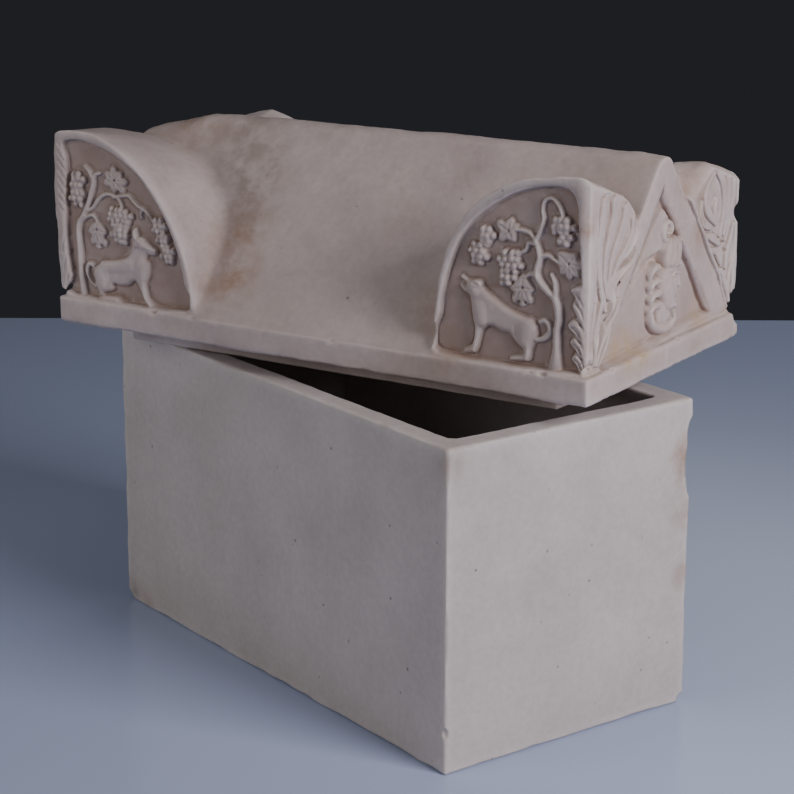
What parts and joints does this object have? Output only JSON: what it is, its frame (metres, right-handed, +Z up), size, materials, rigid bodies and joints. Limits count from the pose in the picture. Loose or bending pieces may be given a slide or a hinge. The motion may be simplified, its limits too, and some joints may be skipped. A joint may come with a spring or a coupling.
{
  "type": "stone sarcophagus",
  "caption": "Small marble sarcophagus: plain hollow chest under a gabled lid with carved corner acroteria, the lid resting askew on the rim.",
  "frame": {"origin": "middle of the chest's underside", "axes": "+X along the chest, -Y is the chest's front, +Z up; the lid is turned 21.2 degrees about +Z from the chest"},
  "size_m": [0.6638, 0.5115, 0.522],
  "materials": {
    "chest_marble": "worn fine-grained marble, matt, with small pits and brown stains",
    "lid_marble": "worn fine-grained marble, matt, brown dirt in the sunk fields"
  },
  "bodies": {
    "root": {"chest": "chest_marble", "lid": "lid_marble"}
  },
  "joints": []
}
